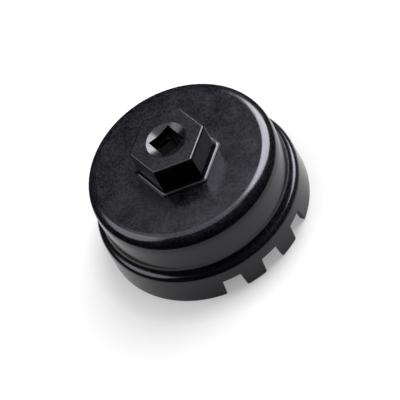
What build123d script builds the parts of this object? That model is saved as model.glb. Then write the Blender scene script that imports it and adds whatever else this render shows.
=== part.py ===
from build123d import *
import math
import os

# Cap-type oil filter wrench: an aluminium cup that drops over the filter housing's fluted cap, and a hex
# hub with a square drive, pressed through the cup's crown and held from inside by a retaining ring.
# Millimetres. +Z is the tool's axis and the rim stands on Z = 0. +X runs through the middle of one group
# of rim notches and through one corner of the hex.

# ---- Cup, outside ----
CUP_HEIGHT = 32.7            # rim plane to the flat crown
UPPER_RADIUS = 36.1          # wall above the shoulder
CROWN_EDGE_RADIUS = 4.3      # rounding from crown to wall
BROW_HEIGHT = 27.0           # rim plane to where the wall begins to lean in towards the crown
BROW_LEAN = 7.0              # degrees from upright
BROW_BLEND_RADIUS = 15.0
SHOULDER_HEIGHT = 14.7       # rim plane to where the shoulder's slope meets the upper wall
SHOULDER_SLOPE = 28.0        # degrees down from level
SHOULDER_HOLLOW_RADIUS = 3.3
SHOULDER_EDGE_RADIUS = 2.4
SKIRT_TOP_RADIUS = 39.2
RIM_RADIUS = 39.7            # skirt at the rim, a little wider for its draft

# ---- Cup, inside ----
FLUTE_COUNT = 14             # flat-sided flutes of the filter cap that the cup drives
FLUTE_ACROSS_FLATS = 64.5
FLUTE_CORNER_RADIUS = 1.6
FLUTE_LEAD_IN = 1.2          # chamfer at the fluted bore's mouth
SKIRT_BORE_RADIUS = 37.6     # clears the collar below the cap's flutes
SKIRT_BORE_DEPTH = 10.6
SKIRT_BORE_ROOT_RADIUS = 1.0
CROWN_THICKNESS = 5.0
CEILING_EDGE_RADIUS = 0.8
COUNTERBORE_RADIUS = 14.5    # recess in the ceiling for the retaining ring
COUNTERBORE_DEPTH = 2.0

# ---- Rim notches, which clear the filter housing's ribs ----
NOTCHES_PER_GROUP = 3
NOTCH_GROUP_ANGLES = (0, 180)
NOTCH_PITCH_ANGLE = 23.75
NOTCH_WIDTH_AT_RIM = 8.1
NOTCH_WIDTH_AT_TOP = 6.9
NOTCH_DEPTH = 7.2
NOTCH_ROOT_RADIUS = 0.4
TOOTH_CORNER_RADIUS = 0.7
TOOTH_EDGE_RADIUS = 0.3      # broken edges round the rim and the notches

# ---- Hex hub ----
HUB_HEIGHT = 12.5            # crown to the hub's top
HUB_ACROSS_FLATS_TOP = 25.0
HUB_DRAFT_ANGLE = 1.5        # each side, wider towards the foot
HUB_CORNER_RADIUS = 0.9
HUB_TOP_EDGE_RADIUS = 0.8
HUB_FOOT_ACROSS_FLATS = 28.6
HUB_FOOT_THICKNESS = 0.6
HUB_FOOT_EDGE_RADIUS = 0.25
HUB_FOOT_BLEND_RADIUS = 1.2
SPIGOT_ACROSS_FLATS = 20.0   # hex shank through the crown
NECK_RADIUS = 9.9            # round end below the crown
RING_GROOVE_RADIUS = 9.1

# ---- Square drive ----
DRIVE_SQUARE = 9.6           # 3/8 inch drive with its clearance
DRIVE_CORNER_RADIUS = 0.4
DRIVE_MOUTH_RADIUS = 7.6
DRIVE_MOUTH_SLOPE = 20.0     # degrees down from the hub's top face
DETENT_GROOVE_RADIUS = 5.7   # recess for the ratchet's ball
DETENT_GROOVE_WIDTH = 3.0
DETENT_GROOVE_DEPTH = 5.8    # hub's top to the groove's middle

# ---- Retaining ring ----
RING_THICKNESS = 1.2
RING_INNER_RADIUS = 9.15
RING_OUTER_RADIUS = 11.6
RING_GAP_WIDTH = 5.0
RING_LUG_WIDTH = 3.4
RING_LUG_ROOT = 10.2         # from the axis to the lugs' inner ends, within the ring's band
RING_LUG_REACH = 13.0        # from the axis to their outer ends
RING_LUG_CORNER_RADIUS = 0.8
RING_HOLE_RADIUS = 0.8
FIT_CLEARANCE = 0.05

# ---- Derived ----
CROWN_RADIUS = UPPER_RADIUS - (CUP_HEIGHT - BROW_HEIGHT) * math.tan(math.radians(BROW_LEAN))
SHOULDER_DROP = (SKIRT_TOP_RADIUS - UPPER_RADIUS) * math.tan(math.radians(SHOULDER_SLOPE))
SKIRT_TOP = SHOULDER_HEIGHT - SHOULDER_DROP
HUB_TOP = CUP_HEIGHT + HUB_HEIGHT
CEILING = CUP_HEIGHT - CROWN_THICKNESS
RECESS_FLOOR = CEILING + COUNTERBORE_DEPTH
GROOVE_BOTTOM = RECESS_FLOOR - RING_THICKNESS - FIT_CLEARANCE
CUT_MARGIN = 1.0             # how far a cutter runs past the face that it cuts
PICK_TOLERANCE = 0.02        # how near an edge or face lies to the place where it is looked for


def rounded_section(corners):
    """Half section on the XZ plane from (radius, height, rounding) rows."""
    section = Plane.XZ * Polygon(*[(radius, height) for radius, height, _ in corners], align=None)
    for radius, height, rounding in corners:
        if rounding:
            corner = section.vertices().sort_by_distance((radius, 0, height))[0]
            section = fillet(corner, rounding)
    return section


def hex_outline(across_flats, corner_radius=0.0):
    """Hexagon with one corner on +X."""
    outline = RegularPolygon(across_flats / 2, 6, major_radius=False)
    if corner_radius:
        outline = fillet(outline.vertices(), corner_radius)
    return outline


def cup_body():
    """The cup turned all round, its upper part still full."""
    corners = [
        (0, CUP_HEIGHT, 0),
        (CROWN_RADIUS, CUP_HEIGHT, CROWN_EDGE_RADIUS),
        (UPPER_RADIUS, BROW_HEIGHT, BROW_BLEND_RADIUS),
        (UPPER_RADIUS, SHOULDER_HEIGHT, SHOULDER_HOLLOW_RADIUS),
        (SKIRT_TOP_RADIUS, SKIRT_TOP, SHOULDER_EDGE_RADIUS),
        (RIM_RADIUS, 0, 0),
        (SKIRT_BORE_RADIUS, 0, 0),
        (SKIRT_BORE_RADIUS, SKIRT_BORE_DEPTH, SKIRT_BORE_ROOT_RADIUS),
        (0, SKIRT_BORE_DEPTH, 0),
    ]
    return revolve(rounded_section(corners), Axis.Z)


def fluted_bore():
    """Cutter for the fourteen-sided socket, with its lead-in chamfer."""
    outline = RegularPolygon(FLUTE_ACROSS_FLATS / 2, FLUTE_COUNT, major_radius=False)
    outline = fillet(outline.vertices(), FLUTE_CORNER_RADIUS)
    depth = CEILING - SKIRT_BORE_DEPTH + CUT_MARGIN
    socket = extrude(Pos(0, 0, SKIRT_BORE_DEPTH - CUT_MARGIN) * outline, depth)
    socket = fillet(socket.faces().sort_by(Axis.Z)[-1].edges(), CEILING_EDGE_RADIUS)
    corner_circle = FLUTE_ACROSS_FLATS / 2 / math.cos(math.pi / FLUTE_COUNT)
    lead_in = Cone(
        corner_circle + FLUTE_LEAD_IN + CUT_MARGIN,
        corner_circle - FLUTE_LEAD_IN,
        2 * FLUTE_LEAD_IN + CUT_MARGIN,
        align=(Align.CENTER, Align.CENTER, Align.MIN),
    )
    return socket + Pos(0, 0, SKIRT_BORE_DEPTH - CUT_MARGIN) * lead_in


def notch_cutter():
    """Cutter for one rim notch on +X, with drafted sides and rounded roots."""
    draft = (NOTCH_WIDTH_AT_RIM - NOTCH_WIDTH_AT_TOP) / 2 / NOTCH_DEPTH
    half_top = NOTCH_WIDTH_AT_TOP / 2
    half_low = NOTCH_WIDTH_AT_RIM / 2 + draft * CUT_MARGIN
    outline = Plane.YZ * Polygon(
        (-half_low, -CUT_MARGIN),
        (-half_top, NOTCH_DEPTH),
        (half_top, NOTCH_DEPTH),
        (half_low, -CUT_MARGIN),
        align=None,
    )
    outline = fillet(outline.vertices().group_by(Axis.Z)[-1], NOTCH_ROOT_RADIUS)
    inner_end = SKIRT_BORE_RADIUS - CUT_MARGIN
    reach = RIM_RADIUS + CUT_MARGIN - inner_end
    return extrude(Pos(inner_end, 0, 0) * outline, reach, dir=(1, 0, 0))


def toothed_outline(cup, rim_radius, top_radius):
    """Edges round the rim and the notches that lie on one wall of the skirt."""
    def on_wall(edge):
        for along in (0.0, 0.5, 1.0):
            point = edge @ along
            wall_radius = rim_radius + (top_radius - rim_radius) * point.Z / SKIRT_TOP
            if abs(math.hypot(point.X, point.Y) - wall_radius) > PICK_TOLERANCE:
                return False
        return True

    toothed = cup.edges().filter_by(lambda edge: edge.bounding_box().max.Z < NOTCH_DEPTH + CUT_MARGIN)
    return toothed.filter_by(on_wall)


def rounded_teeth(cup):
    """Teeth with rounded corners at the rim and broken edges outside and inside."""
    at_rim = cup.edges().filter_by_position(Axis.Z, -PICK_TOLERANCE, PICK_TOLERANCE)
    cup = fillet(at_rim.filter_by(GeomType.LINE), TOOTH_CORNER_RADIUS)
    cup = fillet(toothed_outline(cup, RIM_RADIUS, SKIRT_TOP_RADIUS), TOOTH_EDGE_RADIUS)
    return fillet(toothed_outline(cup, SKIRT_BORE_RADIUS, SKIRT_BORE_RADIUS), TOOTH_EDGE_RADIUS)


def cup_shell():
    cup = cup_body() - fluted_bore()
    first = -(NOTCHES_PER_GROUP - 1) / 2
    for group_angle in NOTCH_GROUP_ANGLES:
        for index in range(NOTCHES_PER_GROUP):
            angle = group_angle + (first + index) * NOTCH_PITCH_ANGLE
            cup -= Rot(0, 0, angle) * notch_cutter()
    cup = rounded_teeth(cup)
    recess = Pos(0, 0, CEILING - CUT_MARGIN) * Cylinder(
        COUNTERBORE_RADIUS,
        COUNTERBORE_DEPTH + CUT_MARGIN,
        align=(Align.CENTER, Align.CENTER, Align.MIN),
    )
    hex_hole = extrude(Pos(0, 0, CEILING) * hex_outline(SPIGOT_ACROSS_FLATS), CROWN_THICKNESS + CUT_MARGIN)
    return cup - recess - hex_hole


def hub_head():
    """Drafted hex with a rounded top edge, blended into a thin foot that lies on the crown."""
    hexagon = extrude(
        Pos(0, 0, HUB_TOP) * hex_outline(HUB_ACROSS_FLATS_TOP, HUB_CORNER_RADIUS),
        -HUB_HEIGHT,
        taper=-HUB_DRAFT_ANGLE,
    )
    hexagon = fillet(hexagon.faces().sort_by(Axis.Z)[-1].edges(), HUB_TOP_EDGE_RADIUS)
    foot_corner_radius = HUB_CORNER_RADIUS + HUB_FOOT_BLEND_RADIUS
    foot = extrude(
        Pos(0, 0, CUP_HEIGHT) * hex_outline(HUB_FOOT_ACROSS_FLATS, foot_corner_radius),
        HUB_FOOT_THICKNESS,
    )
    foot = fillet(foot.faces().sort_by(Axis.Z)[-1].edges(), HUB_FOOT_EDGE_RADIUS)
    head = hexagon + foot
    foot_top = CUP_HEIGHT + HUB_FOOT_THICKNESS
    level = head.faces().filter_by(Axis.Z).filter_by_position(
        Axis.Z, foot_top - PICK_TOLERANCE, foot_top + PICK_TOLERANCE)
    return fillet(level[0].inner_wires()[0].edges(), HUB_FOOT_BLEND_RADIUS)


def drive_socket():
    """Cutter for the square drive: broached square, sloping mouth and ball groove."""
    through = HUB_TOP - CEILING + 2 * CUT_MARGIN
    outline = fillet(Rectangle(DRIVE_SQUARE, DRIVE_SQUARE).vertices(), DRIVE_CORNER_RADIUS)
    square = extrude(Pos(0, 0, CEILING - CUT_MARGIN) * outline, through)
    mouth_tip = DRIVE_SQUARE / 2 - CUT_MARGIN
    mouth_depth = (DRIVE_MOUTH_RADIUS - mouth_tip) * math.tan(math.radians(DRIVE_MOUTH_SLOPE))
    mouth = Cone(mouth_tip, DRIVE_MOUTH_RADIUS, mouth_depth, align=(Align.CENTER, Align.CENTER, Align.MAX))
    groove = Cylinder(DETENT_GROOVE_RADIUS, DETENT_GROOVE_WIDTH)
    return square + Pos(0, 0, HUB_TOP) * mouth + Pos(0, 0, HUB_TOP - DETENT_GROOVE_DEPTH) * groove


def hex_drive_hub():
    spigot = extrude(Pos(0, 0, RECESS_FLOOR) * hex_outline(SPIGOT_ACROSS_FLATS), CUP_HEIGHT - RECESS_FLOOR)
    low = (Align.CENTER, Align.CENTER, Align.MIN)
    groove_waist = Pos(0, 0, GROOVE_BOTTOM) * Cylinder(
        RING_GROOVE_RADIUS, RECESS_FLOOR - GROOVE_BOTTOM, align=low)
    lip = Pos(0, 0, CEILING) * Cylinder(NECK_RADIUS, GROOVE_BOTTOM - CEILING, align=low)
    return hub_head() + spigot + groove_waist + lip - drive_socket()


def hub_retaining_ring():
    """Open spring ring with two plier lugs, its gap on +Y."""
    lug_offset = RING_GAP_WIDTH / 2 + RING_LUG_WIDTH / 2
    lug_middle = (RING_LUG_ROOT + RING_LUG_REACH) / 2
    lug_length = RING_LUG_REACH - RING_LUG_ROOT
    outline = Circle(RING_OUTER_RADIUS)
    for side in (-1, 1):
        lug = fillet(Rectangle(RING_LUG_WIDTH, lug_length).vertices(), RING_LUG_CORNER_RADIUS)
        outline += Pos(side * lug_offset, lug_middle) * lug
    outline -= Circle(RING_INNER_RADIUS)
    outline -= Pos(0, RING_OUTER_RADIUS) * Rectangle(RING_GAP_WIDTH, 2 * RING_OUTER_RADIUS)
    for side in (-1, 1):
        outline -= Pos(side * lug_offset, lug_middle) * Circle(RING_HOLE_RADIUS)
    return extrude(Pos(0, 0, RECESS_FLOOR - RING_THICKNESS) * outline, RING_THICKNESS)


def main():
    parts = {
        "cup_shell": cup_shell(),
        "hex_drive_hub": hex_drive_hub(),
        "hub_retaining_ring": hub_retaining_ring(),
    }
    os.makedirs("parts", exist_ok=True)
    for name, shape in parts.items():
        export_step(shape, f"parts/{name}.step")


main()
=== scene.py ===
import math

import bmesh
import bpy
from mathutils import Matrix, Vector

# Looks of the oil filter cap wrench: black satin finishes on the CAD nodes, a pale floor and a soft
# studio. Metres, in the CAD frame: +Z is the tool's axis and the rim stands on Z = 0.

# ---- Camera ----
VIEW_AZIMUTH = -16.15        # degrees round +Z from +X to the camera
VIEW_ELEVATION = 50.47
VIEW_ROLL = 30.83            # leans the tool's axis to the picture's upper left
VIEW_DISTANCE = 0.7148
VIEW_TARGET = (0.0103, -0.0036, 0.0200)
LENS_LENGTH = 178.56
SENSOR_WIDTH = 36.0
NEAR_CLIP = 0.01

# ---- Studio: azimuths are measured from the camera's, and radiance 1 shows as white ----
LIGHT_DISTANCE = 2.0
SOFT_BOXES = {
    # name: (azimuth, elevation, width, height, radiance)
    "key": (126.0, 47.0, 1.8, 1.9, 20.3),
    "fill": (-108.0, 45.0, 1.6, 1.5, 5.7),
    "overhead": (180.0, 77.0, 2.2, 1.8, 2.4),
}
ROOM_GLOW = 0.014            # dim room, which leaves black bands on the metal
BACKDROP_GLOW = 1.05         # the same room where the camera looks straight at it

# ---- White sheet that the tool stands on ----
TABLE_RADIUS = 0.078
TABLE_SEGMENTS = 128
TABLE_ROUGHNESS = 0.9
TABLE_GAP = 0.00005          # keeps the sheet clear of the rim's flat
TABLE_ALBEDO = 0.17
TABLE_PAINTED_GLOW = 0.55            # painted light: the sheet glows by itself, though no lamp is under it
TABLE_PAINTED_SHADOW_RADIUS = 0.015     # no glow within this radius, a painted shadow under the middle of the tool
TABLE_PAINTED_SHADOW_END_RADIUS = 0.050  # full glow beyond this one; between the two the painted shadow fades out

# ---- Finish: noise scales per metre, ranges in units of the noise, tones as factors ----
NOISE_MIDDLE = 0.5
FINISHES = {
    # node: (material, tint, roughness, height of the grain in metres)
    "cup_shell": ("black_anodised_cup", (0.0032, 0.0030, 0.0041), 0.18, 0.000008),
    "hex_drive_hub": ("black_coated_hub", (0.0029, 0.0027, 0.0037), 0.20, 0.000008),
    "hub_retaining_ring": ("phosphated_spring_steel", (0.009, 0.009, 0.010), 0.34, 0.000005),
}
COAT_IOR = 1.36
COAT_TINT = (0.90, 0.88, 1.0)
GRAIN_SCALE = 3000.0
GRAIN_DETAIL = 2.0
SPECK_SCALE = 1300.0
SPECK_DETAIL = 1.0
SPECK_RANGE = 0.11           # on both sides of the noise's middle
SPECK_TONE = (0.35, 1.8)
STAIN_SCALE = 120.0
STAIN_DETAIL = 3.0
STAIN_RANGE = 0.18
STAIN_TONE = (0.8, 1.2)
SHEEN_SPREAD = 0.03          # in roughness, on both sides of the finish's own


def from_angles(azimuth, elevation):
    """Unit vector at these angles in degrees, the azimuth measured from the camera's."""
    turn = math.radians(VIEW_AZIMUTH + azimuth)
    rise = math.radians(elevation)
    return Vector((
        math.cos(rise) * math.cos(turn),
        math.cos(rise) * math.sin(turn),
        math.sin(rise),
    ))


def look_at(obj, place, target, roll=0.0):
    """Put obj at place with its -Z axis towards target, rolled about that axis."""
    direction = (target - place).normalized()
    aim = direction.to_track_quat("-Z", "Y").to_matrix().to_4x4()
    spin = Matrix.Rotation(math.radians(roll), 4, "Z")
    obj.matrix_world = Matrix.Translation(place) @ aim @ spin


def add_camera():
    data = bpy.data.cameras.new("camera")
    data.lens = LENS_LENGTH
    data.sensor_width = SENSOR_WIDTH
    data.clip_start = NEAR_CLIP
    camera = bpy.data.objects.new("camera", data)
    target = Vector(VIEW_TARGET)
    place = target + VIEW_DISTANCE * from_angles(0.0, VIEW_ELEVATION)
    look_at(camera, place, target, -VIEW_ROLL)
    bpy.context.scene.collection.objects.link(camera)
    bpy.context.scene.camera = camera


def add_soft_box(name, azimuth, elevation, width, height, radiance):
    """Elliptical area light that faces the tool."""
    area = math.pi * width * height / 4
    data = bpy.data.lights.new(name, "AREA")
    data.shape = "ELLIPSE"
    data.size = width
    data.size_y = height
    data.energy = radiance * math.pi * area
    lamp = bpy.data.objects.new(name, data)
    look_at(lamp, LIGHT_DISTANCE * from_angles(azimuth, elevation), Vector((0, 0, 0)))
    bpy.context.scene.collection.objects.link(lamp)


def add_world():
    """Dim room for the metal to mirror, white as a backdrop."""
    world = bpy.data.worlds.new("room")
    world.use_nodes = True
    nodes = world.node_tree.nodes
    links = world.node_tree.links
    nodes.clear()
    seen = nodes.new("ShaderNodeLightPath")
    glow = nodes.new("ShaderNodeMapRange")
    glow.inputs["To Min"].default_value = ROOM_GLOW
    glow.inputs["To Max"].default_value = BACKDROP_GLOW
    background = nodes.new("ShaderNodeBackground")
    background.inputs["Color"].default_value = (1, 1, 1, 1)
    output = nodes.new("ShaderNodeOutputWorld")
    links.new(seen.outputs["Is Camera Ray"], glow.inputs["Value"])
    links.new(glow.outputs["Result"], background.inputs["Strength"])
    links.new(background.outputs["Background"], output.inputs["Surface"])
    bpy.context.scene.world = world


def sheet_with_painted_shadow():
    """Matt white, lit from above, with a painted glow away from the tool and a painted shadow under
    it.
    """
    material = bpy.data.materials.new("sheet_with_painted_shadow")
    material.use_nodes = True
    nodes = material.node_tree.nodes
    links = material.node_tree.links
    shader = nodes["Principled BSDF"]
    shader.inputs["Base Color"].default_value = (TABLE_ALBEDO, TABLE_ALBEDO, TABLE_ALBEDO, 1)
    shader.inputs["Roughness"].default_value = TABLE_ROUGHNESS
    shader.inputs["Specular IOR Level"].default_value = 0.0
    shader.inputs["Emission Color"].default_value = (1, 1, 1, 1)
    place = nodes.new("ShaderNodeTexCoord")
    radius = nodes.new("ShaderNodeVectorMath")
    radius.operation = "LENGTH"
    links.new(place.outputs["Object"], radius.inputs["Vector"])
    # painted glow that grows with the distance from the sheet's middle, leaving a painted shadow
    # under the tool
    glow = nodes.new("ShaderNodeMapRange")
    glow.inputs["From Min"].default_value = TABLE_PAINTED_SHADOW_RADIUS
    glow.inputs["From Max"].default_value = TABLE_PAINTED_SHADOW_END_RADIUS
    glow.inputs["To Max"].default_value = TABLE_PAINTED_GLOW
    links.new(radius.outputs["Value"], glow.inputs["Value"])
    links.new(glow.outputs["Result"], shader.inputs["Emission Strength"])
    return material


def add_floor():
    mesh = bpy.data.meshes.new("floor")
    disc = bmesh.new()
    bmesh.ops.create_circle(disc, cap_ends=True, segments=TABLE_SEGMENTS, radius=TABLE_RADIUS)
    disc.to_mesh(mesh)
    disc.free()
    mesh.materials.append(sheet_with_painted_shadow())
    floor = bpy.data.objects.new("floor", mesh)
    floor.location.z = -TABLE_GAP
    bpy.context.scene.collection.objects.link(floor)


def noise(nodes, links, scale, detail):
    """Noise in object space, so that it stays put on the part."""
    place = nodes.new("ShaderNodeTexCoord")
    texture = nodes.new("ShaderNodeTexNoise")
    texture.inputs["Scale"].default_value = scale
    texture.inputs["Detail"].default_value = detail
    links.new(place.outputs["Object"], texture.inputs["Vector"])
    return texture.outputs["Fac"]


def spread(nodes, links, value, noise_range, low, high):
    """Noise within noise_range of its middle brought to low..high."""
    ramp = nodes.new("ShaderNodeMapRange")
    ramp.inputs["From Min"].default_value = NOISE_MIDDLE - noise_range
    ramp.inputs["From Max"].default_value = NOISE_MIDDLE + noise_range
    ramp.inputs["To Min"].default_value = low
    ramp.inputs["To Max"].default_value = high
    links.new(value, ramp.inputs["Value"])
    return ramp.outputs["Result"]


def multiply(nodes, links, first, second):
    product = nodes.new("ShaderNodeMath")
    product.operation = "MULTIPLY"
    links.new(first, product.inputs[0])
    links.new(second, product.inputs[1])
    return product.outputs["Value"]


def blasted_black(name, tint, roughness, grain_height):
    """Black satin coat: grain in height, specks in tone, stains in tone and sheen."""
    material = bpy.data.materials.new(name)
    material.use_nodes = True
    nodes = material.node_tree.nodes
    links = material.node_tree.links
    shader = nodes["Principled BSDF"]
    grain = noise(nodes, links, GRAIN_SCALE, GRAIN_DETAIL)
    speck = noise(nodes, links, SPECK_SCALE, SPECK_DETAIL)
    stain = noise(nodes, links, STAIN_SCALE, STAIN_DETAIL)

    speck_tone = spread(nodes, links, speck, SPECK_RANGE, *SPECK_TONE)
    stain_tone = spread(nodes, links, stain, STAIN_RANGE, *STAIN_TONE)
    tone = multiply(nodes, links, speck_tone, stain_tone)
    colour = nodes.new("ShaderNodeMix")
    colour.data_type = "RGBA"
    colour.blend_type = "MULTIPLY"
    colour.inputs["Factor"].default_value = 1.0
    colour.inputs["A"].default_value = (*tint, 1)
    links.new(tone, colour.inputs["B"])
    links.new(colour.outputs["Result"], shader.inputs["Base Color"])

    dull, smooth = roughness + SHEEN_SPREAD, roughness - SHEEN_SPREAD
    sheen = spread(nodes, links, stain, STAIN_RANGE, smooth, dull)
    links.new(sheen, shader.inputs["Roughness"])
    shader.inputs["IOR"].default_value = COAT_IOR
    shader.inputs["Specular Tint"].default_value = (*COAT_TINT, 1)

    bump = nodes.new("ShaderNodeBump")
    bump.inputs["Distance"].default_value = grain_height
    links.new(grain, bump.inputs["Height"])
    links.new(bump.outputs["Normal"], shader.inputs["Normal"])
    return material


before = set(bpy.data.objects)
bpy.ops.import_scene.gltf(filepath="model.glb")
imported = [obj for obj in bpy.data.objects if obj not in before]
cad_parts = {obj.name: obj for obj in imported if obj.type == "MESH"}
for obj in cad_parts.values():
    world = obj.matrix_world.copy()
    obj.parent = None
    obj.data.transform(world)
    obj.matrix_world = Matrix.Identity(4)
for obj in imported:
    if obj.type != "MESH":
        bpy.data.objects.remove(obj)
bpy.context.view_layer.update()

add_camera()
for name, values in SOFT_BOXES.items():
    add_soft_box(name, *values)
add_world()
add_floor()
bpy.context.scene.view_settings.view_transform = "Standard"

for name, finish in FINISHES.items():
    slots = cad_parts[name].data.materials
    slots.clear()
    slots.append(blasted_black(*finish))
